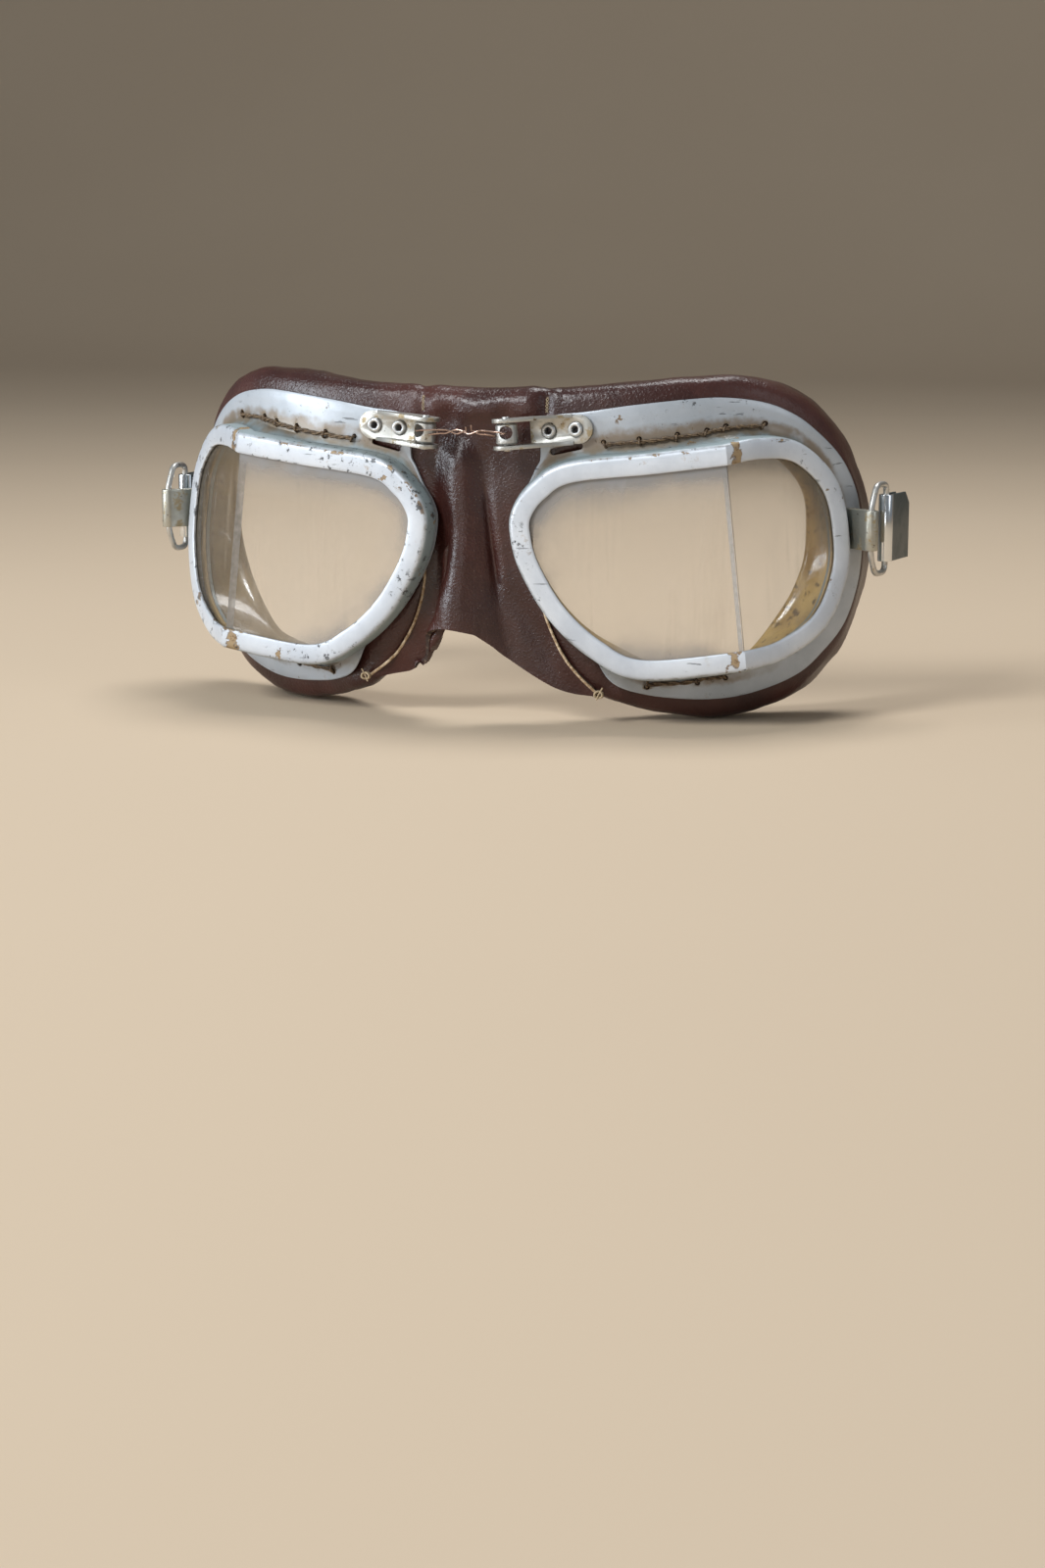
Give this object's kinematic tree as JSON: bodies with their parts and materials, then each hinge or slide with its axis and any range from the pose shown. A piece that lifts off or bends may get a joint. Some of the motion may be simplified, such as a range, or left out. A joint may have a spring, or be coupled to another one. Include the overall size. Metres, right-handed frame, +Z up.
{
  "type": "flying goggles",
  "caption": "Flying goggles: two angular framed lenses with split flat panes, hinged at a wired bridge, on a padded leather face mask with strap loops.",
  "frame": {"origin": "midway between the two bridge hinges, on their axes' middle height", "axes": "+X to the wearer's left, -Y the way the goggles face, +Z up, as worn"},
  "size_m": [0.1905, 0.064, 0.0837],
  "materials": {
    "rim_paint": "pale blue-grey enamel, worn and chipped",
    "flange_paint": "blue-grey enamel, satin, rubbed at the edges",
    "lens_glass": "flat laminated glass, slightly clouded and warm",
    "seal_cork": "matte amber gasket",
    "nickel": "nickel-plated brass, worn through at the edges",
    "worn_brass": "bare tarnished brass",
    "chrome": "polished plate, spotted",
    "copper": "bare copper wire, tarnished",
    "waxed_thread": "brown waxed thread",
    "brown_leather": "dark red-brown leather, slightly glossy, fine grain",
    "tan_lining": "tan suede-like lining leather, matte"
  },
  "bodies": {
    "bridge": {"hinge_barrel_left": "nickel", "hinge_barrel_right": "nickel", "bridge_wire": "copper", "nose_bridge": "brown_leather"},
    "left_eye": {"frame_plate_left": "flange_paint", "lens_rim_left": "rim_paint", "front_lens_left": "lens_glass", "side_lens_left": "lens_glass", "lens_seal_left": "seal_cork", "face_pad_left": "brown_leather", "eye_lining_left": "tan_lining", "top_lacing_left": "waxed_thread", "bottom_lacing_left": "waxed_thread", "bridge_bracket_left": "nickel", "inner_bracket_rivet_left": "nickel", "outer_bracket_rivet_left": "nickel", "strap_lug_left": "worn_brass"},
    "right_eye": {"frame_plate_right": "flange_paint", "lens_rim_right": "rim_paint", "front_lens_right": "lens_glass", "side_lens_right": "lens_glass", "lens_seal_right": "seal_cork", "face_pad_right": "brown_leather", "eye_lining_right": "tan_lining", "top_lacing_right": "waxed_thread", "bottom_lacing_right": "waxed_thread", "bridge_bracket_right": "nickel", "inner_bracket_rivet_right": "nickel", "outer_bracket_rivet_right": "nickel", "strap_lug_right": "worn_brass"},
    "left_strap_loop": {"strap_loop_left": "nickel"},
    "right_strap_loop": {"strap_loop_right": "nickel"},
    "left_strap_clasp": {"strap_clasp_left": "chrome"},
    "right_strap_clasp": {"strap_clasp_right": "chrome"}
  },
  "joints": [
    {"name": "left_eye_fold", "type": "hinge", "parent": "bridge", "child": "left_eye", "pos_m": [0.0102, 0, 0], "axis": [-0.0698, 0, 0.9976], "range_deg": [-10, 25], "deforming": ["nose_bridge"]},
    {"name": "right_eye_fold", "type": "hinge", "parent": "bridge", "child": "right_eye", "pos_m": [-0.0102, 0, 0], "axis": [-0.0698, 0, -0.9976], "range_deg": [-10, 25], "deforming": ["nose_bridge"]},
    {"name": "left_loop_swing", "type": "hinge", "parent": "left_eye", "child": "left_strap_loop", "pos_m": [0.0917, 0.0322, -0.0236], "axis": [0, 0, 1], "range_deg": [-65, 15]},
    {"name": "right_loop_swing", "type": "hinge", "parent": "right_eye", "child": "right_strap_loop", "pos_m": [-0.0917, 0.0322, -0.0236], "axis": [0, 0, -1], "range_deg": [-80, 4]},
    {"name": "left_clasp_swing", "type": "hinge", "parent": "left_strap_loop", "child": "left_strap_clasp", "pos_m": [0.0936, 0.04079, -0.0236], "axis": [0, 0, 1], "range_deg": [-60, 6]},
    {"name": "right_clasp_swing", "type": "hinge", "parent": "right_strap_loop", "child": "right_strap_clasp", "pos_m": [-0.09078, 0.04095, -0.0236], "axis": [0, 0, -1], "range_deg": [-60, 4]}
  ]
}
